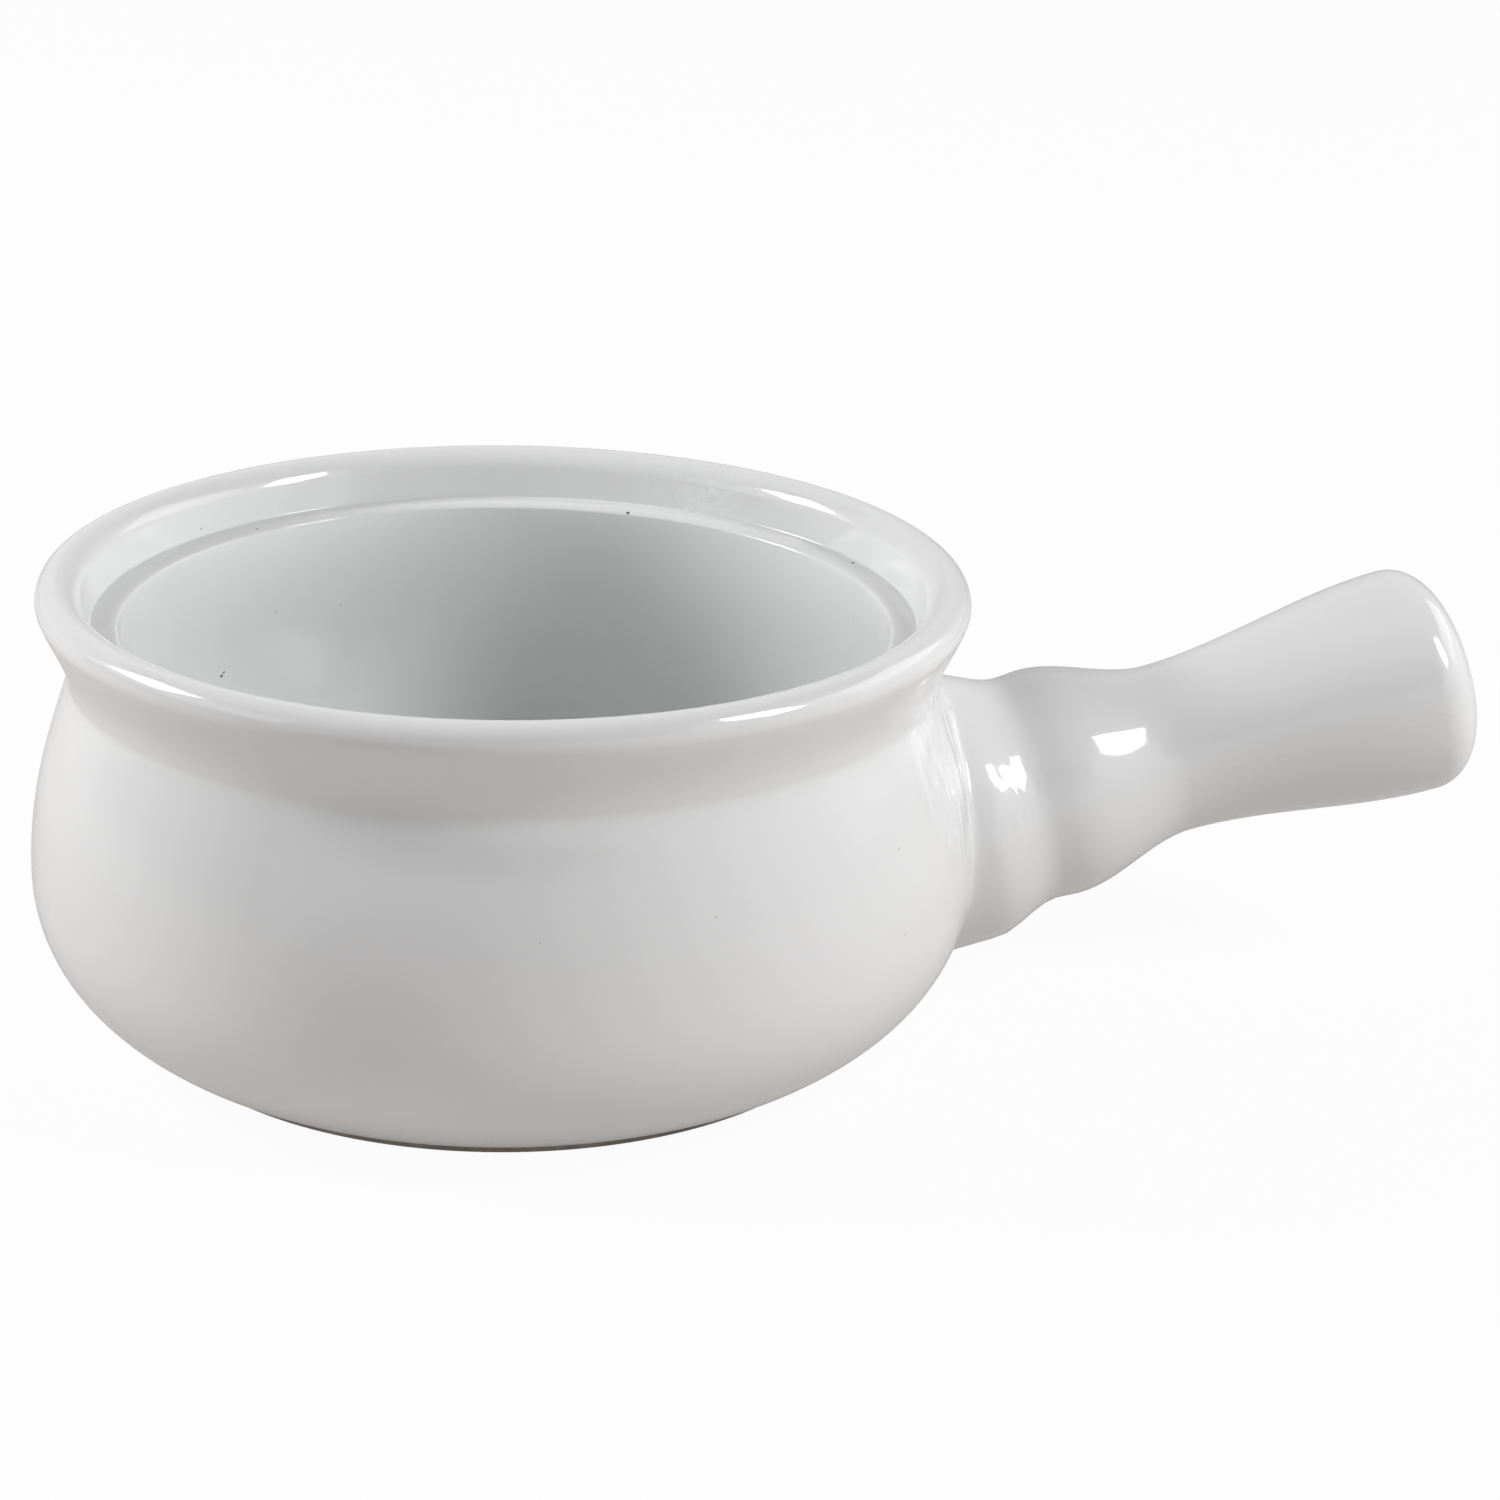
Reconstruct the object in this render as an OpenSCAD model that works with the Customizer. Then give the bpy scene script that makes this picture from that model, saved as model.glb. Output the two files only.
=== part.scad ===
// Onion soup crock: a round-bellied porcelain bowl with a flared, rolled lip,
// a gallery inside the lip where a lid or a cheese crust sits, and one hollow
// handle luted to the side of the belly with casting slip.
// Origin: centre of the foot, on the table. +Z is up and the handle points along +X.

/* [Bowl] */
// Outside diameter of the rim
rim_d = 124; // [118:0.5:130]
// Height from the table to the top of the lip
bowl_h = 62.4; // [58:0.2:70]
// How far the neck crease, under the flare, lies inside the rim
neck_in = 3.85; // [2.4:0.05:5.4]
// Drop from the top of the lip to the neck crease
neck_drop = 13.2; // [11:0.2:16]
// How far the belly stands out past the neck crease
belly_out = 5.6; // [3:0.1:8]
// Height of the widest part of the belly
belly_h = 22.4; // [19:0.2:27]
// Lean of the belly's wall from upright where it meets the neck
belly_lean = 14.5; // [8:0.5:20]
// Thickness of the belly wall
wall_t = 4.8; // [3.6:0.1:6]
// Thickness of the floor inside the foot ring
floor_t = 4.8; // [3.6:0.1:6.5]

/* [Lip and gallery] */
// Radius of the lip's outer roll
lip_roll_r = 2.6; // [1.8:0.1:3]
// Width of the lip's inner roll, from its crest to its inner side
lip_inner_w = 1.5; // [1:0.1:2.2]
// Drop of the lip's inner roll, from its crest to the sloping gallery wall
lip_inner_drop = 2.5; // [1.5:0.1:3]
// Lean of the flare from upright where it runs into the lip
flare_lean = 22; // [14:0.5:30]
// How far the mouth, inside the gallery's ledge, lies inside the rim
mouth_in = 10.6; // [9.6:0.1:13]
// Depth of the gallery's ledge below the top of the lip
gallery_depth = 5.2; // [4.4:0.1:7]
// Width of the ledge's flat seat
ledge_seat_w = 1.1; // [0.8:0.1:1.6]
// Radius of the ledge's rounded inner edge
ledge_edge_r = 1.6; // [1:0.1:2.2]

/* [Foot] */
// How far the foot ring's outside lies inside the belly's
foot_in = 15.35; // [12:0.05:19]
// Height of the foot ring's bare band
foot_band_h = 0.85; // [0.6:0.05:1.6]
// Width of the foot ring's flat standing face
foot_ring_w = 3.4; // [2.4:0.1:5]
// Depth of the recess inside the foot ring
recess_depth = 1.4; // [1:0.1:2.4]
// Slope of the belly's underside where it leaves the foot
foot_slope = 21; // [14:0.5:30]

/* [Handle] */
// Rise of the handle's axis above level
handle_tilt = 13.8; // [6:0.2:20]
// Height of the handle's axis where it meets the belly
joint_h = 25.2; // [23:0.2:28]
// Length of the handle along its axis, from the joint to its end
handle_l = 73.7; // [68:0.5:84]
// Diameter of the collar, the handle's flared root
collar_d = 37.9; // [34:0.2:39]
// Distance from the joint to the groove behind the collar
groove_at = 9.6; // [8:0.2:11]
// Diameter at the groove
groove_d = 31.9; // [29:0.1:33]
// Distance from the joint to the crown of the ring
ring_at = 13.2; // [12.6:0.2:15]
// Diameter of the ring
ring_d = 32.3; // [30:0.1:34]
// Distance from the joint to the waist
waist_at = 30.5; // [26:0.5:36]
// Diameter of the waist
waist_d = 23.9; // [21:0.1:27]
// Diameter of the grip's flared end
grip_d = 31.8; // [28:0.2:36]
// Length of the rounded end past the grip's widest part
end_round_l = 7.4; // [5:0.2:11]
// Thickness of the hollow handle's wall
handle_wall_t = 4.2; // [3.2:0.1:5]
// Diameter of the kiln vent under the waist
vent_d = 2.2; // [1.6:0.1:3]

/* [Slip and glaze] */
// Thickness of the fired glaze
glaze_t = 0.35; // [0.25:0.05:0.5]
// Thickness of the slip between the handle's root and the belly
slip_t = 0.6; // [0.5:0.05:1]

/* [Hidden] */

$fn = 144;

// Counts of straight steps along each curve of the two outlines
long_steps = 14;
short_steps = 7;
corner_steps = 3;

// How far each curve's end tangent pulls it, as a share of the curve's height
low_pull_share = 0.65;
high_pull_share = 0.46;
neck_pull_share = 0.2;
flare_pull_share = 0.35;
inside_pull_share = 0.36;
// How far the belly's underside runs on from the foot, as a share of its overhang
foot_pull_share = 0.23;
// Half-length of the rounded crease at the neck, and of the gallery's two corners
neck_crease_l = 0.6;
gallery_crease_l = 0.8;
// Lean of the flare from upright where it leaves the neck
neck_flare_lean = 8;
// Radius of the flat part of the floor, as a share of the foot's
floor_flat_share = 0.82;
// How squarely the handle's end is rounded: 1 is an ellipse, less is squarer
end_round_share = 0.62;
// How far the handle's root runs on past the belly's widest radius, so that it is
// trimmed by the belly all round, also where its underside meets the bowl's
root_overrun = 20;

rim_r = rim_d / 2;
neck_r = rim_r - neck_in;
neck_h = bowl_h - neck_drop;
belly_r = neck_r + belly_out;
foot_r = belly_r - foot_in;
mouth_r = rim_r - mouth_in;
lip_crest_r = rim_r - lip_roll_r;
gallery_top_r = lip_crest_r - lip_inner_w;
gallery_top_h = bowl_h - lip_inner_drop;
ledge_h = bowl_h - gallery_depth;
ledge_inner_r = mouth_r + ledge_edge_r;
ledge_outer_r = ledge_inner_r + ledge_seat_w + gallery_crease_l;
floor_h = recess_depth + floor_t;
floor_flat_r = foot_r * floor_flat_share;
inside_belly_r = belly_r - wall_t;
ring_inner_r = foot_r - glaze_t - foot_ring_w;
recess_r = ring_inner_r - recess_depth;

// The handle's axis, carried on, crosses the bowl's axis here
joint_at = belly_r / cos(handle_tilt);
handle_axis_h = joint_h - belly_r * tan(handle_tilt);

// Points on a cubic curve, a quadratic corner, and an arc of a circle or ellipse
function curve(a, b, c, d, steps) =
    [for (i = [0:steps]) let (t = i / steps, u = 1 - t)
        u * u * u * a + 3 * u * u * t * b + 3 * u * t * t * c + t * t * t * d];
function corner(a, b, c, steps) =
    [for (i = [0:steps]) let (t = i / steps, u = 1 - t) u * u * a + 2 * u * t * b + t * t * c];
function arc(centre, rx, ry, from, to, steps) =
    [for (i = [0:steps]) let (a = from + (to - from) * i / steps)
        centre + [rx * cos(a), ry * sin(a)]];

// The same points without the last, where the next stretch begins
function open_end(points) = [for (i = [0:len(points) - 2]) points[i]];

// Unit direction at a lean from upright
function upward(lean) = [sin(lean), cos(lean)];

// An outline moved sideways: depth is measured to the left of its direction,
// and the first and last points move along the directions given
function moved(points, depth, first, last) =
    [for (i = [0:len(points) - 1])
        i == 0 ? points[i] + depth * first
        : i == len(points) - 1 ? points[i] + depth * last
        : let (run = points[i + 1] - points[i - 1])
            points[i] + depth * [-run[1], run[0]] / norm(run)];

function reversed(points) = [for (i = [len(points) - 1:-1:0]) points[i]];

// Outside of the glazed bowl, from the foot up to the lip's crest
foot_edge = [foot_r, foot_band_h];
belly_edge = [belly_r, belly_h];
neck_edge = [neck_r, neck_h];
lip_centre = [lip_crest_r, bowl_h - lip_roll_r];
below_neck = neck_edge - neck_crease_l * upward(-belly_lean);
above_neck = neck_edge + neck_crease_l * upward(neck_flare_lean);
lip_start = lip_centre + lip_roll_r * [cos(flare_lean), -sin(flare_lean)];
low_rise = belly_h - foot_band_h;
high_rise = neck_h - belly_h;
flare_rise = lip_start[1] - neck_h;

outside_line = concat(
    open_end(curve(
        foot_edge,
        foot_edge + (belly_r - foot_r) * foot_pull_share * [cos(foot_slope), sin(foot_slope)],
        belly_edge - [0, low_rise * low_pull_share],
        belly_edge, long_steps)),
    open_end(curve(
        belly_edge,
        belly_edge + [0, high_rise * high_pull_share],
        below_neck - high_rise * neck_pull_share * upward(-belly_lean),
        below_neck, long_steps)),
    open_end(corner(below_neck, neck_edge, above_neck, corner_steps)),
    open_end(curve(
        above_neck,
        above_neck + flare_rise * flare_pull_share * upward(neck_flare_lean),
        lip_start - flare_rise * flare_pull_share * upward(flare_lean),
        lip_start, short_steps)),
    arc(lip_centre, lip_roll_r, lip_roll_r, -flare_lean, 90, short_steps));

// Inside of the glazed bowl, from the lip's crest down to the middle of the floor
gallery_top = [gallery_top_r, gallery_top_h];
ledge_corner = [ledge_outer_r, ledge_h];
gallery_run = (ledge_corner - gallery_top) / norm(ledge_corner - gallery_top);
mouth_edge = [mouth_r, ledge_h - ledge_edge_r];
inside_belly = [inside_belly_r, belly_h];
floor_edge = [floor_flat_r, floor_h];
inside_drop = mouth_edge[1] - belly_h;
inside_low = belly_h - floor_h;

inside_line = concat(
    open_end(arc([lip_crest_r, gallery_top_h + gallery_crease_l], lip_inner_w,
                 lip_inner_drop - gallery_crease_l, 90, 180, short_steps)),
    corner(gallery_top + [0, gallery_crease_l], gallery_top,
           gallery_top + gallery_crease_l * gallery_run, corner_steps),
    corner(ledge_corner - gallery_crease_l * gallery_run, ledge_corner,
           ledge_corner - [gallery_crease_l, 0], corner_steps),
    open_end(arc([ledge_inner_r, mouth_edge[1]], ledge_edge_r, ledge_edge_r, 90, 180,
                 short_steps)),
    open_end(curve(
        mouth_edge,
        mouth_edge - [0, inside_drop * inside_pull_share],
        inside_belly + [0, inside_drop * inside_pull_share],
        inside_belly, long_steps)),
    open_end(curve(
        inside_belly,
        inside_belly - [0, inside_low * low_pull_share],
        floor_edge + [(inside_belly_r - floor_flat_r) * low_pull_share, 0],
        floor_edge, long_steps)),
    [floor_edge, [0, floor_h]]);

// Where the fired clay lies, one glaze thickness under each of them
outside_clay = moved(outside_line, glaze_t, [-1, 0], [0, -1]);
inside_clay = moved(inside_line, glaze_t, [0, -1], [0, -1]);

// The underside's recess, from the axis out to the standing face
recess_clay = [[0, recess_depth + glaze_t], [recess_r, recess_depth + glaze_t]];

module bowl_clay() {
    rotate_extrude()
        polygon(concat(
            outside_clay,
            [for (i = [1:len(inside_clay) - 1]) inside_clay[i]],
            recess_clay,
            [[ring_inner_r, 0], [foot_r - glaze_t, 0]]));
}

// Everything inside the bowl's outside, grown by the given depth
module bowl_space(grow) {
    outline = moved(outside_line, -grow, [1, 0], [0, 1]);
    rotate_extrude()
        polygon(concat(outline, [[0, bowl_h + grow], [0, foot_band_h]]));
}

// Radius of the handle between two of its stations, easing in and out
function eased(a, b, t) = a + (b - a) * t * t * (3 - 2 * t);

// Outline of the handle, as radius and distance from the bowl's axis,
// with each surface lying the given depth inside the glazed one
function handle_line(depth) = let (
    places = [0, groove_at, ring_at, waist_at, handle_l - end_round_l],
    sizes = [collar_d, groove_d, ring_d, waist_d, grip_d],
    last = len(places) - 1)
    concat(
        [[collar_d / 2 - depth, joint_at - root_overrun]],
        [for (k = [0:last - 1], i = [0:short_steps - 1]) let (t = i / short_steps)
            [eased(sizes[k], sizes[k + 1], t) / 2 - depth,
             joint_at + places[k] + (places[k + 1] - places[k]) * t]],
        [for (i = [0:long_steps]) let (a = 90 * i / long_steps)
            [i == long_steps ? 0 : (grip_d / 2 - depth) * pow(cos(a), end_round_share),
             joint_at + places[last] + (end_round_l - depth) * sin(a)]]);

module handle_shape(depth) {
    translate([0, 0, handle_axis_h])
        rotate([0, 90 - handle_tilt, 0])
            rotate_extrude()
                polygon(concat([[0, joint_at - root_overrun]], handle_line(depth)));
}

// The vent runs from the hollow down through the wall under the waist
module vent() {
    translate([0, 0, handle_axis_h])
        rotate([0, 90 - handle_tilt, 0])
            translate([0, 0, joint_at + waist_at])
                rotate([0, 90, 0])
                    cylinder(h = collar_d / 2, d = vent_d);
}

module bowl_body() {
    color("#ece9e2") bowl_clay();
}

module handle_body() {
    color("#e9e6df")
        difference() {
            handle_shape(glaze_t);
            handle_shape(handle_wall_t);
            bowl_space(slip_t - glaze_t);
            vent();
        }
}

module luting_slip() {
    color("#d9d3c8")
        difference() {
            intersection() {
                handle_shape(glaze_t);
                bowl_space(slip_t - glaze_t);
            }
            handle_shape(handle_wall_t);
            bowl_space(-glaze_t);
        }
}

module inside_glaze() {
    color("#f3f5f3")
        rotate_extrude()
            polygon(concat(inside_line, reversed(inside_clay)));
}

module outside_glaze() {
    color("#f6f5f2")
        difference() {
            rotate_extrude()
                polygon(concat(outside_line, reversed(outside_clay)));
            handle_shape(0);
        }
}

module underside_glaze() {
    color("#f1f0ec")
        translate([0, 0, recess_depth])
            cylinder(h = glaze_t, r = recess_r);
}

module handle_glaze() {
    color("#f7f6f4")
        difference() {
            handle_shape(0);
            handle_shape(glaze_t);
            bowl_space(-glaze_t);
            vent();
        }
}

bowl_body();
handle_body();
luting_slip();
inside_glaze();
outside_glaze();
underside_glaze();
handle_glaze();
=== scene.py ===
import math

import bmesh
import bpy
from mathutils import Matrix, Vector


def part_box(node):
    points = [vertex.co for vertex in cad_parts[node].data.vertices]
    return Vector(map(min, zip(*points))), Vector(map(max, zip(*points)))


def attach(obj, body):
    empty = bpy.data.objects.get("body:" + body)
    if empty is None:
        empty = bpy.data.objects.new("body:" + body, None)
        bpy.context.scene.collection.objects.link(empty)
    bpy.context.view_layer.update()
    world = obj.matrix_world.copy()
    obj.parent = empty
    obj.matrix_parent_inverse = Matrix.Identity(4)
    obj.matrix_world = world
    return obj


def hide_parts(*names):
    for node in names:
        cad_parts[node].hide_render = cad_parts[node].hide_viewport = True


# Onion soup crock in white glazed porcelain. Outlines are in millimetres, meshes in metres.
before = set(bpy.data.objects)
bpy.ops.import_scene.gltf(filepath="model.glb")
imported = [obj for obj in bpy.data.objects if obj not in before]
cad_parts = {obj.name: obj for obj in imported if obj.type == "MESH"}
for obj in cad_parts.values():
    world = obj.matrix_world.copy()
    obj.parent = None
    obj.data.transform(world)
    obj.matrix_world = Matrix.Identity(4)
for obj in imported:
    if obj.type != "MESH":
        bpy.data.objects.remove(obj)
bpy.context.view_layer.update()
mm = 0.001
samePoint = 1e-4  # outline points nearer than this, in millimetres, are one
weldGap = 0.002  # and so are mesh points nearer than this
sceneRoot = bpy.context.scene.collection

coatLow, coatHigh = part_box("outside_glaze")
bellyRadius = -coatLow.x / mm
bowlHeight = coatHigh.z / mm

# Camera

cameraSetup = {
    "frame": 1500,  # pixels along the photo's side
    "focal": 4000,  # focal length in those pixels
    "rimCentrePixel": (506.36, 569.53),  # where the middle of the rim falls
    "rimRadiusPixels": 464.44,  # how many pixels the rim's radius spans there
    "elevation": 17.78,  # degrees above the table
    "turn": 8.33,  # degrees that the handle points away from the camera
    "roll": 0.30,
    "sensor": 36,
    "near": 0.01,  # metres, as is the next
    "far": 20,
}


def addCamera(setup, rimRadius, rimHeight):
    lean, roll, turn = (math.radians(setup[name]) for name in ("elevation", "roll", "turn"))
    focal, half = setup["focal"], setup["frame"] / 2
    distance = focal * rimRadius / setup["rimRadiusPixels"]
    place = Vector((0, -distance * math.cos(lean), rimHeight + distance * math.sin(lean)))
    level = Matrix((
        (1, 0, 0),
        (0, math.sin(lean), math.cos(lean)),
        (0, -math.cos(lean), math.sin(lean)),
    ))
    across, down = setup["rimCentrePixel"]
    ray = Vector(((across - half) / focal, (half - down) / focal, -1)).normalized()
    swing = Vector((0, 0, -1)).rotation_difference(ray).to_matrix()
    worldToView = swing @ Matrix.Rotation(-roll, 3, "Z") @ level
    turnBack = Matrix.Rotation(-turn, 3, "Z")
    data = bpy.data.cameras.new("photoCamera")
    data.sensor_width = setup["sensor"]
    data.lens = focal / setup["frame"] * setup["sensor"]
    data.clip_start, data.clip_end = setup["near"], setup["far"]
    camera = bpy.data.objects.new("photoCamera", data)
    camera.matrix_world = (turnBack @ worldToView.transposed()).to_4x4()
    camera.location = turnBack @ place * mm
    sceneRoot.objects.link(camera)
    bpy.context.scene.camera = camera
    print("camera placed")


# Outlines

def curve(a, b, c, d, steps):
    points = []
    for i in range(steps + 1):
        t = i / steps
        u = 1 - t
        points.append(a * u**3 + b * 3 * u * u * t + c * 3 * u * t * t + d * t**3)
    return points


def corner(a, b, c, steps):
    points = []
    for i in range(steps + 1):
        t = i / steps
        points.append(a * (1 - t) ** 2 + b * 2 * (1 - t) * t + c * t * t)
    return points


def arc(centre, across, up, start, end, steps):
    points = []
    for i in range(steps + 1):
        angle = math.radians(start + (end - start) * i / steps)
        points.append(centre + Vector((across * math.cos(angle), up * math.sin(angle))))
    return points


def upward(lean):
    return Vector((math.sin(math.radians(lean)), math.cos(math.radians(lean))))


def joined(*stretches):
    points = []
    for stretch in stretches:
        for point in stretch:
            if not points or (point - points[-1]).length > samePoint:
                points.append(point)
    return points


def moved(points, depth, first, last):
    # the outline set off to its left, with its two ends moved the ways given
    shifted = []
    for i, point in enumerate(points):
        if i == 0:
            shifted.append(point + Vector(first) * depth)
        elif i == len(points) - 1:
            shifted.append(point + Vector(last) * depth)
        else:
            run = (points[i + 1] - points[i - 1]).normalized()
            shifted.append(point + Vector((-run.y, run.x)) * depth)
    return shifted


bowl = {
    "neckIn": 3.85,  # the neck crease lies this far inside the rim
    "neckDrop": 13.2,  # and this far below the top of the lip
    "bellyOut": 5.6,  # the belly stands this far out past the neck
    "bellyHeight": 22.4,
    "bellyLean": 14.5,
    "wall": 4.8,
    "floor": 4.8,
    "lipRoll": 2.6,
    "innerRoll": 3.5,
    "galleryLean": 15,  # of the gallery's wall from upright
    "flareLean": 22,
    "neckFlareLean": 8,
    "mouthIn": 10.6,
    "galleryDepth": 6.45,
    "ledgeRoll": 2.2,  # the ledge rounds over into the mouth across this much
    "ledgeEdge": 0.7,
    "neckCrease": 0.6,
    "galleryCrease": 0.25,
    "footIn": 15.35,
    "footBand": 0.85,
    "footRing": 3.4,
    "recess": 1.4,
    "footSlope": 21,
    "glaze": 0.35,
    "underEdgeShare": 0.6,  # the underside coat's edge is rounded by this share of its thickness
    "crestFlat": 0.03,  # a hair of level crest, so that the two coats shade as one
    "lowPullShare": 0.65,
    "highPullShare": 0.46,
    "neckPullShare": 0.2,
    "flarePullShare": 0.35,
    "insidePullShare": 0.36,
    "footPullShare": 0.23,
    "floorFlatShare": 0.82,
    "longSteps": 40,
    "shortSteps": 18,
    "cornerSteps": 8,
    "underEdgeSteps": 6,
    "around": 192,
}
rimRadius = bellyRadius - bowl["bellyOut"] + bowl["neckIn"]
neckRadius = rimRadius - bowl["neckIn"]
footRadius = bellyRadius - bowl["footIn"]
mouthRadius = rimRadius - bowl["mouthIn"]
crestRadius = rimRadius - bowl["lipRoll"]
neckHeight = bowlHeight - bowl["neckDrop"]
ledgeHeight = bowlHeight - bowl["galleryDepth"]


def outsideOutline(b):
    foot = Vector((footRadius, b["footBand"]))
    belly = Vector((bellyRadius, b["bellyHeight"]))
    neck = Vector((neckRadius, neckHeight))
    lip = Vector((crestRadius, bowlHeight - b["lipRoll"]))
    belowNeck = neck - upward(-b["bellyLean"]) * b["neckCrease"]
    aboveNeck = neck + upward(b["neckFlareLean"]) * b["neckCrease"]
    lean = math.radians(b["flareLean"])
    lipStart = lip + Vector((math.cos(lean), -math.sin(lean))) * b["lipRoll"]
    lowRise = b["bellyHeight"] - b["footBand"]
    highRise = neckHeight - b["bellyHeight"]
    flarePull = (lipStart.y - neckHeight) * b["flarePullShare"]
    footRun = (bellyRadius - footRadius) * b["footPullShare"]
    return joined(
        curve(foot, foot + upward(90 - b["footSlope"]) * footRun,
              belly - Vector((0, lowRise * b["lowPullShare"])), belly, b["longSteps"]),
        curve(belly, belly + Vector((0, highRise * b["highPullShare"])),
              belowNeck - upward(-b["bellyLean"]) * highRise * b["neckPullShare"],
              belowNeck, b["longSteps"]),
        corner(belowNeck, neck, aboveNeck, b["cornerSteps"]),
        curve(aboveNeck, aboveNeck + upward(b["neckFlareLean"]) * flarePull,
              lipStart - upward(b["flareLean"]) * flarePull, lipStart, b["shortSteps"]),
        arc(lip, b["lipRoll"], b["lipRoll"], -b["flareLean"], 90, b["shortSteps"]),
    )


def insideOutline(b):
    # the lip rolls over into the gallery's steep wall, which runs down to the ledge
    lip = Vector((crestRadius, bowlHeight - b["innerRoll"]))
    roll = arc(lip, b["innerRoll"], b["innerRoll"], 90, 180 - b["galleryLean"], b["shortSteps"])
    lean = math.radians(b["galleryLean"])
    down = Vector((-math.sin(lean), -math.cos(lean)))
    ledgeCorner = roll[-1] + down * ((roll[-1].y - ledgeHeight) / math.cos(lean))
    crease = b["galleryCrease"]
    mouth = Vector((mouthRadius, ledgeHeight - b["ledgeEdge"]))
    belly = Vector((bellyRadius - b["wall"], b["bellyHeight"]))
    floor = Vector((footRadius * b["floorFlatShare"], b["recess"] + b["floor"]))
    drop = (mouth.y - belly.y) * b["insidePullShare"]
    low = (belly.y - floor.y) * b["lowPullShare"]
    sweep = (belly.x - floor.x) * b["lowPullShare"]
    return joined(
        roll,
        corner(ledgeCorner - down * crease, ledgeCorner, ledgeCorner - Vector((crease, 0)),
               b["cornerSteps"]),
        arc(mouth + Vector((b["ledgeRoll"], 0)), b["ledgeRoll"], b["ledgeEdge"], 90, 180,
            b["shortSteps"]),
        curve(mouth, mouth - Vector((0, drop)), belly + Vector((0, drop)), belly,
              b["longSteps"]),
        curve(belly, belly - Vector((0, low)), floor + Vector((sweep, 0)), floor,
              b["longSteps"]),
        [Vector((floor.x * share, floor.y)) for share in (0.75, 0.5, 0.25, 0)],
    )


# Meshes

def spun(outline, around, closed):
    work = bmesh.new()
    verts = [work.verts.new((point.x * mm, 0, point.y * mm)) for point in outline]
    pairs = list(zip(verts, verts[1:]))
    if closed:
        pairs.append((verts[-1], verts[0]))
    for pair in pairs:
        work.edges.new(pair)
    bmesh.ops.spin(work, geom=work.verts[:] + work.edges[:], cent=(0, 0, 0), axis=(0, 0, 1),
                   angle=math.tau, steps=around, use_merge=True)
    bmesh.ops.remove_doubles(work, verts=work.verts, dist=weldGap * mm)
    bmesh.ops.recalc_face_normals(work, faces=work.faces)
    return work


def finished(name, work, material, sharpDegrees=35):
    mesh = bpy.data.meshes.new(name)
    work.to_mesh(mesh)
    work.free()
    mesh.materials.append(material)
    mesh.shade_smooth()
    mesh.set_sharp_from_angle(angle=math.radians(sharpDegrees))
    piece = bpy.data.objects.new(name, mesh)
    sceneRoot.objects.link(piece)
    return piece


def applyModifiers(piece):
    bpy.context.view_layer.update()
    graph = bpy.context.evaluated_depsgraph_get()
    mesh = bpy.data.meshes.new_from_object(piece.evaluated_get(graph), depsgraph=graph)
    piece.modifiers.clear()
    piece.data = mesh


def cutWith(piece, cutter):
    cut = piece.modifiers.new("cut", "BOOLEAN")
    cut.operation, cut.solver, cut.object = "DIFFERENCE", "EXACT", cutter
    applyModifiers(piece)
    bpy.data.objects.remove(cutter)


# Materials

class Wire:  # one output of a node, so that shader sums read as sums
    def __init__(self, shader, socket):
        self.shader, self.socket = shader, socket

    def math(self, operation, other=0.0, swapped=False, clamp=False):
        pair = (other, self) if swapped else (self, other)
        settings = {"operation": operation, "use_clamp": clamp}
        return self.shader.add("ShaderNodeMath", settings, {0: pair[0], 1: pair[1]})

    def __add__(self, other):
        return self.math("ADD", other)

    def __radd__(self, other):
        return self.math("ADD", other, True)

    def __sub__(self, other):
        return self.math("SUBTRACT", other)

    def __rsub__(self, other):
        return self.math("SUBTRACT", other, True)

    def __mul__(self, other):
        return self.math("MULTIPLY", other)

    def __rmul__(self, other):
        return self.math("MULTIPLY", other, True)

    def __truediv__(self, other):
        return self.math("DIVIDE", other)

    def clamped(self):
        return self.math("ADD", 0.0, clamp=True)


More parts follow.
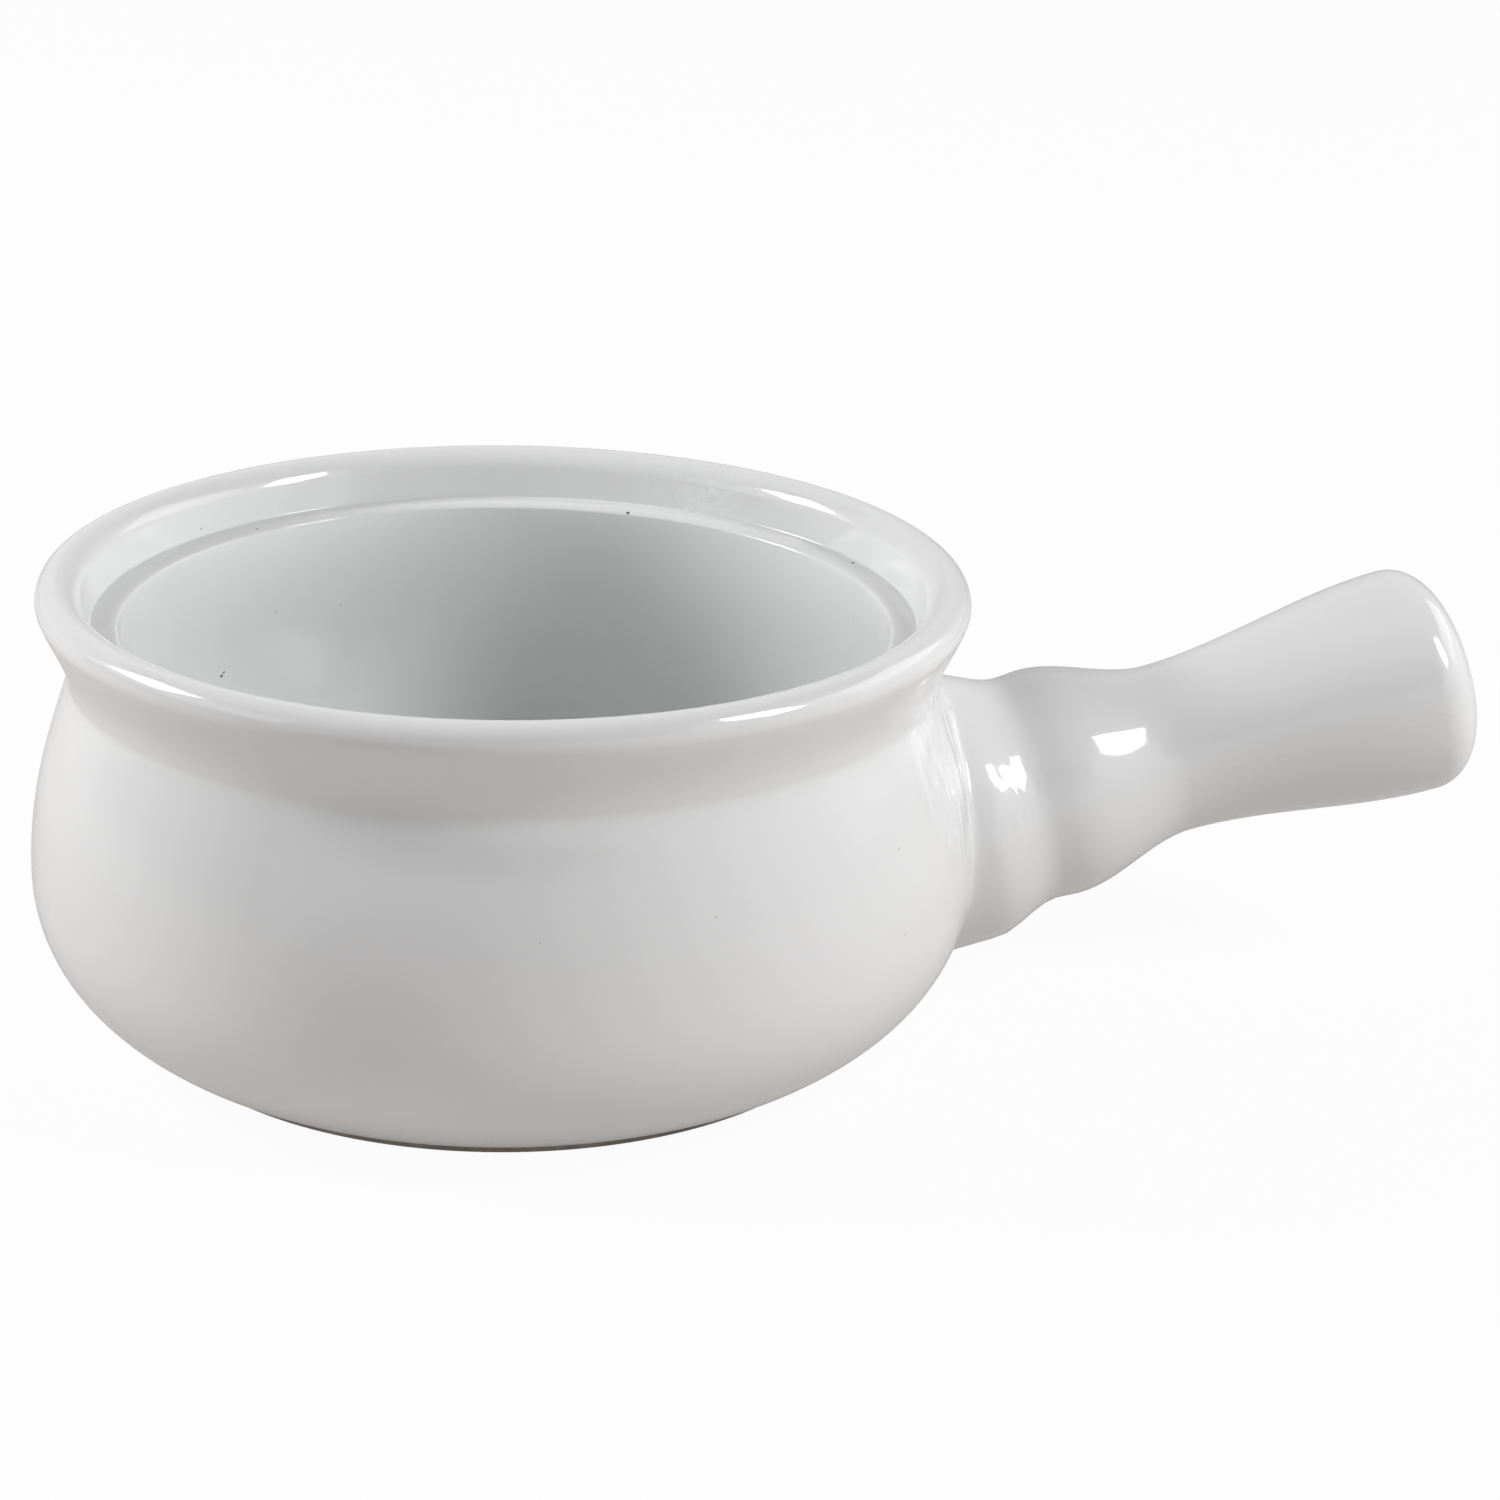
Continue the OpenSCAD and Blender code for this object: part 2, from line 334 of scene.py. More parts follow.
class Shader:  # the nodes of a material or of the world, and the shader that ends them
    def __init__(self, owner, surface="ShaderNodeBsdfPrincipled",
                 output="ShaderNodeOutputMaterial"):
        self.owner = owner
        owner.use_nodes = True
        self.tree = owner.node_tree
        self.tree.nodes.clear()
        self.output = self.tree.nodes.new(output)
        self.surface = self.tree.nodes.new(surface)
        self.tree.links.new(self.surface.outputs[0], self.output.inputs["Surface"])

    def add(self, kind, settings=None, values=None, output=0):
        node = self.tree.nodes.new(kind)
        for name, setting in (settings or {}).items():
            setattr(node, name, setting)
        for name, value in (values or {}).items():
            self.feed(node.inputs[name], value)
        return Wire(self, node.outputs[output])

    def feed(self, socket, value):
        if isinstance(value, Wire):
            self.tree.links.new(value.socket, socket)
        else:
            socket.default_value = value

    def coat(self, **values):
        names = {"colour": "Base Color", "roughness": "Roughness", "normal": "Normal",
                 "ior": "IOR"}
        for name, value in values.items():
            self.feed(self.surface.inputs[names[name]], value)
        return self.owner

    def place(self):
        return self.add("ShaderNodeTexCoord", output=3)

    def axes(self, vector):
        split = self.add("ShaderNodeSeparateXYZ", {}, {0: vector})
        outputs = split.socket.node.outputs
        return [Wire(self, outputs[i]) for i in range(3)]

    def noise(self, vector, fineness, detail, roughness=0.5):
        return self.add("ShaderNodeTexNoise", {}, {
            "Vector": vector, "Scale": fineness, "Detail": detail, "Roughness": roughness})

    def smooth(self, value, low, high):
        settings = {"interpolation_type": "SMOOTHSTEP"}
        return self.add("ShaderNodeMapRange", settings, {
            "Value": value, "From Min": low, "From Max": high, "To Min": 0.0, "To Max": 1.0})

    def mix(self, factor, a, b):
        settings = {"data_type": "RGBA"}
        return self.add("ShaderNodeMix", settings, {0: factor, 6: a, 7: b}, output=2)

    def bump(self, height, strength, distance):
        return self.add("ShaderNodeBump", {}, {
            "Height": height, "Strength": strength, "Distance": distance})

    def spot(self, vector, centre, radius, coreShare):
        # 1 in the core of a round spot and 0 from its radius on; centre and radius in millimetres
        point = [value * mm for value in centre]
        away = self.add("ShaderNodeVectorMath", {"operation": "DISTANCE"},
                        {0: vector, 1: point}, output=1)
        return 1 - self.smooth(away, radius * coreShare * mm, radius * mm)


def rgb(r, g, b):
    return (r, g, b, 1.0)


glaze = {
    "white": rgb(0.83, 0.832, 0.832),
    "thick": rgb(0.795, 0.803, 0.80),  # where the glaze pools in a crease
    "thin": rgb(0.838, 0.815, 0.80),  # where it drew off an edge and the clay shows through
    "foot": rgb(0.36, 0.32, 0.285),  # and painted shade of the contact shadow just above the bare foot
    "insideWhite": rgb(0.808, 0.818, 0.814),
    "speck": rgb(0.10, 0.09, 0.08),
    "pinhole": rgb(0.42, 0.40, 0.37),
    "poolFineness": 38.0,  # of the patches where it lies thicker, per metre
    "poolRange": (0.35, 0.7),
    "poolShare": 0.35,
    "neckPool": (0.3, 2.4, 0.7),  # full this near the neck's crease, gone this far off, share
    "ledgePool": (0.4, 1.6, 0.6),  # and the same round the gallery's inner corner,
    "ledgePoolOut": 3.2,  # which lies this far out from the mouth,
    "ledgePoolDrop": 1,  # fading out this far below the ledge
    "footShade": (0.9, 3.4, 0.75),  # painted shade, full up to this height, gone from this one, and its share
    "flareThin": (1, 4, 0.35),  # starts this far from neck and lip, full this far, share
    "insideFrom": (4, 1),  # the inside's white: full this far below the ledge, gone this far above
    "roughness": 0.07,
    "roughRange": 0.03,
    "roughFineness": 55.0,
    "ior": 1.56,
    "wave": 26.0,  # slow waviness of the fired surface, per metre
    "peel": 190.0,  # the finer orange peel, and its share of the relief
    "peelShare": 0.035,
    "relief": 0.6,  # in millimetres
    "reliefStrength": 0.35,
    "holeFineness": 130.0,  # of the pinholes, per metre
    "holeSize": 0.022,
    "holeCore": 0.5,
    "holeShare": 0.8,
    "speckCore": 0.6,
    "rippleCore": 0.5,
    "seamHalf": (0.05, 0.42),  # the mould's seam is full this near its middle, gone this far
    "seamFineness": 90.0,  # of the stretches in which it shows, per metre
    "seamRange": (0.3, 0.6),
    "seamShade": 0.25,
    "seamRelief": 0.12,
}
ripples = {  # where the glaze lies in fine ripples: centre, reach, fineness, upright stretch, depth
    "besideJoint": ((55, -28, 41), 14, 340.0, 0.2, 3.2),
    "collar": ((63, -18, 31), 9, 420.0, 0.5, 1.0),
    "lip": ((34, 46, 61), 11, 1000.0, 1.0, 0.5),
}
# iron specks burnt through the glaze: where, how wide and how dark
outsideSpecks = (
    ((44.37, -43.06, 36.95), 0.26, 0.3),
    ((17.36, -59.59, 36.01), 0.22, 0.25),
    ((-4.81, -62.12, 34.96), 0.2, 0.2),
    ((45.17, -44.81, 25.72), 0.26, 0.2),
)
insideSpecks = (
    ((-34.75, 45.20, 33.25), 0.34, 1.0),
    ((-34.50, 45.42, 33.80), 0.3, 1.0),
    ((51.43, 16.88, 55.95), 0.32, 1.0),
    ((-29.43, 43.38, 55.84), 0.24, 0.7),
    ((-37.52, 40.60, 56.96), 0.22, 0.6),
    ((-26.63, 47.01, 42.06), 0.22, 0.4),
    ((-16.76, 51.68, 41.18), 0.2, 0.35),
    ((-34.24, 44.24, 58.98), 0.2, 0.6),
    ((24.45, 45.50, 55.60), 0.34, 0.9),
)
handleSpecks = (
    ((59.84, -7.49, 42.66), 0.26, 0.6),
    ((61.4, -6.4, 42.9), 0.22, 0.45),
    ((58.9, -8.9, 41.3), 0.22, 0.4),
)


def pooled(shader, place):
    patches = shader.noise(place, glaze["poolFineness"], 3.0)
    share = shader.smooth(patches, *glaze["poolRange"]) * glaze["poolShare"]
    return shader.mix(share, glaze["white"], glaze["thick"])


def pinholed(shader, place, colour):
    near = shader.add("ShaderNodeTexVoronoi", {"feature": "F1"}, {
        "Vector": place, "Scale": glaze["holeFineness"], "Randomness": 1.0})
    size = glaze["holeSize"]
    holes = 1 - shader.smooth(near, size * glaze["holeCore"], size)
    return shader.mix(holes * glaze["holeShare"], colour, glaze["pinhole"])


def specked(shader, place, colour, specks):
    for centre, radius, strength in specks:
        spot = shader.spot(place, centre, radius, glaze["speckCore"])
        colour = shader.mix(spot * strength, colour, glaze["speck"])
    return colour


def rippled(shader, place, name):
    centre, reach, fineness, upright, depth = ripples[name]
    near = shader.spot(place, centre, reach, glaze["rippleCore"])
    x, y, z = shader.axes(place)
    stretched = shader.add("ShaderNodeCombineXYZ", {}, {0: x, 1: y, 2: z * upright})
    return shader.noise(stretched, fineness, 0.8) * near * depth


def glazeSurface(shader, place, colour, extraRelief):
    wave = shader.noise(place, glaze["wave"], 1.5)
    peel = shader.noise(place, glaze["peel"], 2.0)
    height = wave + peel * glaze["peelShare"] + extraRelief
    normal = shader.bump(height, glaze["reliefStrength"], glaze["relief"] * mm)
    patches = shader.noise(place, glaze["roughFineness"], 3.0)
    roughness = glaze["roughness"] + patches * glaze["roughRange"]
    return shader.coat(colour=colour, roughness=roughness, normal=normal, ior=glaze["ior"])


def outsideGlaze():
    shader = Shader(bpy.data.materials.new("outsideGlaze"))
    place = shader.place()
    height = shader.axes(place)[2] / mm
    colour = pooled(shader, place)
    full, gone, share = glaze["neckPool"]
    nearNeck = 1 - shader.smooth((height - neckHeight).math("ABSOLUTE"), full, gone)
    colour = shader.mix(nearNeck * share, colour, glaze["thick"])
    # painted shade: the glaze darkens towards the bare foot in place of the contact shadow there
    full, gone, share = glaze["footShade"]
    paintedFootShade = 1 - shader.smooth(height, full, gone)
    colour = shader.mix(paintedFootShade * share, colour, glaze["foot"])
    starts, full, share = glaze["flareThin"]
    flare = shader.smooth(height, neckHeight + starts, neckHeight + full)
    lip = shader.smooth(height, bowlHeight - full, bowlHeight - starts)
    colour = shader.mix(flare * (1 - lip) * share, colour, glaze["thin"])
    colour = pinholed(shader, place, colour)
    colour = specked(shader, place, colour, outsideSpecks)
    return glazeSurface(shader, place, colour, rippled(shader, place, "besideJoint"))


def insideGlaze():
    shader = Shader(bpy.data.materials.new("insideGlaze"))
    place = shader.place()
    x, y, z = shader.axes(place)
    height = z / mm
    under, over = glaze["insideFrom"]
    deep = 1 - shader.smooth(height, ledgeHeight - under, ledgeHeight + over)
    colour = shader.mix(deep, glaze["white"], glaze["insideWhite"])
    full, gone, share = glaze["ledgePool"]
    away = (x * x + y * y).math("SQRT") / mm - (mouthRadius + glaze["ledgePoolOut"])
    pool = 1 - shader.smooth(away.math("ABSOLUTE"), full, gone)
    pool = pool * shader.smooth(height, ledgeHeight - glaze["ledgePoolDrop"], ledgeHeight)
    colour = shader.mix(pool * share, colour, glaze["thick"])
    colour = pinholed(shader, place, colour)
    colour = specked(shader, place, colour, insideSpecks)
    return glazeSurface(shader, place, colour, rippled(shader, place, "lip"))


handle = {
    "tilt": 13.8,
    "jointHeight": 25.2,
    "collar": 37.9,
    "grooveAt": 9.6,
    "groove": 31.9,
    "ringAt": 13.2,
    "ring": 32.3,
    "waistAt": 30.5,
    "waist": 23.9,
    "grip": 31.8,
    "length": 73.7,
    "endRound": 7.4,
    "endRoundShare": 0.62,
    "vent": 2.2,
    "glaze": 0.35,
    "pool": 0.9,  # radius of the glaze drawn into the joint
    "poolRun": 1.6,  # it thins out along the handle over this many radii
    "rootIn": 1.2,  # how far the coat runs on into the bowl's wall
    # rings from the joint to the groove, closest where the pool curves most
    "rootStops": (0, 0.12, 0.25, 0.4, 0.6, 0.9, 1.4, 2.0, 2.8, 3.6, 4.5, 5.4, 6.3, 7.2, 8.1, 8.9),
    "around": 160,
    "stretchSteps": 16,
    "endSteps": 28,
    "ventSides": 48,
    "sharpDegrees": 60,
    "searchStep": 0.5,  # the joint's line is sought in steps this long, no deeper than this,
    "searchEnd": -30,
    "halvings": 24,  # and then by halving the last step
}
tilt = math.radians(handle["tilt"])
jointAt = bellyRadius / math.cos(tilt)
handleAxisHeight = handle["jointHeight"] - bellyRadius * math.tan(tilt)


def handleGlaze():
    shader = Shader(bpy.data.materials.new("handleGlaze"))
    place = shader.place()
    x, y, z = shader.axes(place)
    # the two halves of the mould met in the plane of the handle's axis
    off = (z - handleAxisHeight * mm) * math.cos(tilt) - x * math.sin(tilt)
    seam = 1 - shader.smooth(off.math("ABSOLUTE") / mm, *glaze["seamHalf"])
    shows = shader.noise(place, glaze["seamFineness"], 2.0)
    seam = seam * shader.smooth(shows, *glaze["seamRange"])
    colour = pinholed(shader, place, pooled(shader, place))
    colour = shader.mix(seam * glaze["seamShade"], colour, glaze["thick"])
    colour = specked(shader, place, colour, handleSpecks)
    relief = seam * glaze["seamRelief"] + rippled(shader, place, "collar")
    return glazeSurface(shader, place, colour, relief)


bareClay = {
    # painted shade: both clay colours are the clay's own warm grey made darker than bare bisque is,
    # standing in for the contact shadow on the bare foot
    "fired": rgb(0.40, 0.355, 0.31),
    "dark": rgb(0.26, 0.225, 0.19),
    "slip": rgb(0.56, 0.51, 0.45),
    "clayFineness": 1400.0,  # of the grain, per metre
    "slipFineness": 1100.0,
    "coarseFineness": 0.12,  # the coarse grain's, as a share of the fine one's
    "fineShare": 0.4,
    "darkRange": (0.35, 0.7),
    "relief": 0.08,  # in millimetres
    "reliefStrength": 0.5,
    "roughness": 0.75,
    "roughRange": 0.15,
    "ior": 1.5,
}


def clayMaterial(name, light, dark, fineness):
    shader = Shader(bpy.data.materials.new(name))
    place = shader.place()
    coarse = shader.noise(place, fineness * bareClay["coarseFineness"], 4.0, 0.6)
    fine = shader.noise(place, fineness, 3.0, 0.6)
    grain = coarse * (1 - bareClay["fineShare"]) + fine * bareClay["fineShare"]
    colour = shader.mix(shader.smooth(grain, *bareClay["darkRange"]), dark, light)
    normal = shader.bump(fine, bareClay["reliefStrength"], bareClay["relief"] * mm)
    roughness = bareClay["roughness"] + fine * bareClay["roughRange"]
    return shader.coat(colour=colour, roughness=roughness, normal=normal, ior=bareClay["ior"])


# Bowl coats

def closedCoat(outline, depth, first, last):
    return outline + moved(outline, depth, first, last)[::-1]


def buildBowlClay(b, material):
    # the fired clay lies one thickness of glaze under both outlines
    outside = moved(outsideOutline(b), b["glaze"], (-1, 0), (0, -1))
    inside = moved(insideOutline(b), b["glaze"], (0, -1), (0, -1))
    ringInner = footRadius - b["glaze"] - b["footRing"]
    recessHeight = b["recess"] + b["glaze"]
    under = [Vector((0, recessHeight)), Vector((ringInner - b["recess"], recessHeight)),
             Vector((ringInner, 0)), Vector((footRadius - b["glaze"], 0))]
    clay = spun(joined(outside, inside, under) + [outside[0]], b["around"], False)
    piece = finished("bowlClay", clay, material)
    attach(piece, "root")
    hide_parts("bowl_body")
    print("bowl clay made")


def buildOutsideCoat(b, material):
    outside = outsideOutline(b)
    outside.insert(len(outside) - 1, outside[-1] + Vector((b["crestFlat"], 0)))
    coat = closedCoat(outside, b["glaze"], (-1, 0), (0, -1))
    piece = finished("outsideCoat", spun(coat, b["around"], True), material)
    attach(piece, "root")
    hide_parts("outside_glaze")
    print("outside coat made")
    return outside


def buildInsideCoat(b, material):
    inside = insideOutline(b)
    inside.insert(1, inside[0] - Vector((b["crestFlat"], 0)))
    coat = closedCoat(inside, b["glaze"], (0, -1), (0, -1))
    piece = finished("insideCoat", spun(coat, b["around"], False), material)
    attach(piece, "root")
    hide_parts("inside_glaze")
    print("inside coat made")


def buildUndersideCoat(b, material):
    recessRadius = footRadius - b["glaze"] - b["footRing"] - b["recess"]
    low, high, edge = b["recess"], b["recess"] + b["glaze"], b["glaze"] * b["underEdgeShare"]
    disc = joined(
        [Vector((0, low)), Vector((recessRadius * 0.5, low))],
        arc(Vector((recessRadius - edge, low + edge)), edge, edge, -90, 0, b["underEdgeSteps"]),
        [Vector((recessRadius, high)), Vector((0, high))],
    )
    piece = finished("undersideCoat", spun(disc, b["around"], False), material)
    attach(piece, "root")
    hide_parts("underside_glaze")
    print("underside coat made")


# Handle coat

def handleRadius(h, at):
    places = [0, h["grooveAt"], h["ringAt"], h["waistAt"], h["length"] - h["endRound"]]
    sizes = [h["collar"], h["groove"], h["ring"], h["waist"], h["grip"]]
    if at <= 0:
        return sizes[0] / 2
    for k in range(len(places) - 1):
        if at <= places[k + 1]:
            t = (at - places[k]) / (places[k + 1] - places[k])
            return (sizes[k] + (sizes[k + 1] - sizes[k]) * t * t * (3 - 2 * t)) / 2
    return sizes[-1] / 2


def handleOutline(h):
    widest = h["length"] - h["endRound"]
    stops = [at for at in h["rootStops"] if at < h["grooveAt"]]
    places = [h["grooveAt"], h["ringAt"], h["waistAt"], widest]
    for a, b in zip(places, places[1:]):
        stops += [a + (b - a) * i / h["stretchSteps"] for i in range(h["stretchSteps"])]
    points = [Vector((handleRadius(h, at), at)) for at in [-h["rootIn"]] + stops]
    for i in range(h["endSteps"] + 1):
        angle = math.radians(90 * i / h["endSteps"])
        across = h["grip"] / 2 * math.cos(angle) ** h["endRoundShare"]
        if i == h["endSteps"]:
            across = 0  # the cosine worked out for a right angle isn't quite 0
        points.append(Vector((across, widest + h["endRound"] * math.sin(angle))))
    return points


def wallRadius(outline, height):
    rising = [point for point in outline if point.y <= neckHeight]
    for low, high in zip(rising, rising[1:]):
        if height <= high.y:
            t = (height - low.y) / (high.y - low.y)
            return low.x + (high.x - low.x) * t
    return rising[-1].x


def onHandle(at, radius, angle):
    # a point round the handle's axis, in the frame, in millimetres
    along = jointAt + at
    out = radius * math.cos(angle)
    return Vector((
        along * math.cos(tilt) + out * math.sin(tilt),
        radius * math.sin(angle),
        handleAxisHeight + along * math.sin(tilt) - out * math.cos(tilt),
    ))


def creaseAt(h, outline, angle):
    # where the coat, drawn out by its pool, meets the belly on its way in
    def outsideBy(at):
        point = onHandle(at, handleRadius(h, at) + h["pool"], angle)
        return math.hypot(point.x, point.y) - wallRadius(outline, point.z)

    step = h["searchStep"]
    near = h["grooveAt"] - step
    while outsideBy(near) > 0 and near > h["searchEnd"]:
        near -= step
    far = near + step
    for _ in range(h["halvings"]):
        middle = (near + far) / 2
        if outsideBy(middle) > 0:
            far = middle
        else:
            near = middle
    return near


def fitRoot(work, h, outline):
    # the rings up to the groove are moved out to the line where the coat meets the belly
    starts = {}
    for vert in work.verts:
        at = vert.co.z / mm
        if at < h["grooveAt"] - samePoint:
            angle = math.atan2(vert.co.y, vert.co.x)
            key = round(angle, 5)
            if key not in starts:
                starts[key] = creaseAt(h, outline, angle)
            start = starts[key]
            if at < 0:
                at = start - h["rootIn"]
                radius = handleRadius(h, at) + h["pool"]
            else:
                at = start + at * (h["grooveAt"] - start) / h["grooveAt"]
                u = min((at - start) / (h["pool"] * h["poolRun"]), 1)
                radius = handleRadius(h, at) + h["pool"] * (1 - math.sqrt(1 - (1 - u) ** 2))
            vert.co = Vector((math.cos(angle) * radius, math.sin(angle) * radius, at)) * mm


def drillVent(piece, h, lay, material):
    radius = h["vent"] / 2 * mm
    drill = bmesh.new()
    bmesh.ops.create_cone(drill, segments=h["ventSides"], radius1=radius, radius2=radius,
                          depth=h["waist"] * mm, cap_ends=True)
    down = lay @ Matrix.Translation((h["waist"] / 2 * mm, 0, h["waistAt"] * mm))
    down = down @ Matrix.Rotation(math.pi / 2, 4, "Y")
    bmesh.ops.transform(drill, matrix=down, verts=drill.verts)
    cutWith(piece, finished("ventDrill", drill, material))


def buildHandleCoat(h, outline, material):
    work = spun(handleOutline(h), h["around"], False)
    fitRoot(work, h, outline)
    lay = Matrix.Translation((0, 0, handleAxisHeight * mm))
    lay = lay @ Matrix.Rotation(math.pi / 2 - tilt, 4, "Y")
    lay = lay @ Matrix.Translation((0, 0, jointAt * mm))
    bmesh.ops.transform(work, matrix=lay, verts=work.verts)
    piece = finished("handleCoat", work, material, h["sharpDegrees"])
    skin = piece.modifiers.new("coat", "SOLIDIFY")
    skin.thickness, skin.offset = h["glaze"] * mm, -1
    applyModifiers(piece)
    drillVent(piece, h, lay, material)
    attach(piece, "root")
    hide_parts("handle_glaze")
    print("handle coat made,", len(piece.data.polygons), "faces")


# Studio

# Soft panels stand round the crock on a sphere. Turns are degrees round from the crock's
# front, to the right, and rises are degrees above the table.
panels = {
    "backLeftWall": ((-181, -125), (0, 38), 0.72),
    "backRightWall": ((125, 180), (0, 38), 0.5),
    "backTop": ((125, 235), (38, 60), 0.2),
    "rightWallLow": ((82, 125), (0, 15), 0.7),
    "rightWall": ((82, 125), (15, 38), 2.12),
    "rightFrontLow": ((38, 82), (0, 15), 0.53),
    "rightFront": ((38, 82), (15, 38), 1.0),
    "frontRight": ((0, 38), (13, 38), 0.03),
    "frontLeft": ((-62, 0), (13, 38), 0.03),
    "leftLow": ((-125, -62), (0, 13), 0.25),
    "leftWall": ((-125, -62), (13, 38), 1.5),
    "highRight": ((0, 82), (38, 60), 0.22),
    "highSide": ((82, 125), (38, 60), 0.03),
    "highLeft": ((-125, 0), (38, 60), 0.03),
    "overhead": ((-180, 180), (60, 89), 0.03),
}
studio = {
    "worldShare": 0.3,  # what the world itself lights the crock with
    "panelColour": rgb(0.99, 0.985, 1.0),
    "panelsFar": 1.5,
    "panelRows": 4,
    "panelColumns": 16,
    "floorSize": 6.0,
    "tableDrop": 0.2,  # millimetres from the floor that shows down to the table that lights
    "floorColour": rgb(0.80, 0.79, 0.78),
    "floorShown": 0.95,  # how far the camera sees white in place of the floor's own shade
    "sheetLeft": -0.40,  # the white sheet under the crock ends here on its two sides
    "sheetRight": 0.33,
    "sheetColour": rgb(0.36, 0.35, 0.34),
    "sheetTint": rgb(1.0, 0.945, 0.91),
    "sheetGlow": 0.24,
    "roundGlow": 0.06,
    "cardFar": 0.45,  # a low white card stands before the crock
    "cardTurns": (-62, 38),
    "cardRises": (-3.8, 12.5),
    "cardGlow": 0.62,
    "lampTurn": 60,
    "lampRise": 37,
    "lampFar": 1.0,
    "lampRadius": 0.26,
    "lampCorners": 5,
    "lampRoll": 90,
    "lampNarrow": 0.6,  # the five-sided lamp is squeezed to this share of its width
    "lampGlow": 17.5,
    "boxTurn": -109,
    "boxRise": 33,
    "boxFar": 1.0,
    "boxSize": 0.32,
    "boxWatts": 5.63,
    "aim": (0.03, 0, 0.03),
}


def hung(turn, rise, far, aim):
    # where a lamp hangs, and the matrix that points its face at the crock
    a, e = math.radians(turn), math.radians(rise)
    way = Vector((math.sin(a) * math.cos(e), -math.cos(a) * math.cos(e), math.sin(e)))
    facing = (-way).to_track_quat("-Z", "Y").to_matrix().to_4x4()
    return Matrix.Translation(Vector(aim) + way * far) @ facing


def glowing(name, colour, strength):
    shader = Shader(bpy.data.materials.new(name), "ShaderNodeEmission")
    shader.feed(shader.surface.inputs["Color"], colour)
    shader.feed(shader.surface.inputs["Strength"], strength)
    return shader.owner


def softPanel(name, turns, rises, far, colour, strength):
    work = bmesh.new()
    verts = []
    side = math.radians(turns[0] - 90)
    for i in range(studio["panelRows"] + 1):
        rise = math.radians(rises[0] + (rises[1] - rises[0]) * i / studio["panelRows"])
        out = far * math.cos(rise)
        verts.append(work.verts.new((out * math.cos(side), out * math.sin(side),
                                     studio["aim"][2] + far * math.sin(rise))))
    edges = [work.edges.new(pair) for pair in zip(verts, verts[1:])]
    bmesh.ops.spin(work, geom=verts + edges, cent=(0, 0, 0), axis=(0, 0, 1),
                   angle=math.radians(turns[1] - turns[0]), steps=studio["panelColumns"])
    panel = finished(name, work, glowing(name, colour, strength))
    panel.visible_camera = False


def buildWorld(s):
    world = bpy.data.worlds.new("studioWorld")
    bpy.context.scene.world = world
    shader = Shader(world, "ShaderNodeBackground", "ShaderNodeOutputWorld")
    path = shader.add("ShaderNodeLightPath").socket.node
    seen = Wire(shader, path.outputs["Is Camera Ray"])
    seen = seen + Wire(shader, path.outputs["Is Glossy Ray"])
    seen = (seen + Wire(shader, path.outputs["Is Transmission Ray"])).clamped()
    shader.feed(shader.surface.inputs["Color"], rgb(1, 1, 1))
    shader.feed(shader.surface.inputs["Strength"], seen + (1 - seen) * s["worldShare"])


def plane(name, size, height, material):
    work = bmesh.new()
    bmesh.ops.create_grid(work, x_segments=1, y_segments=1, size=size / 2)
    bmesh.ops.translate(work, verts=work.verts, vec=(0, 0, height))
    return finished(name, work, material)


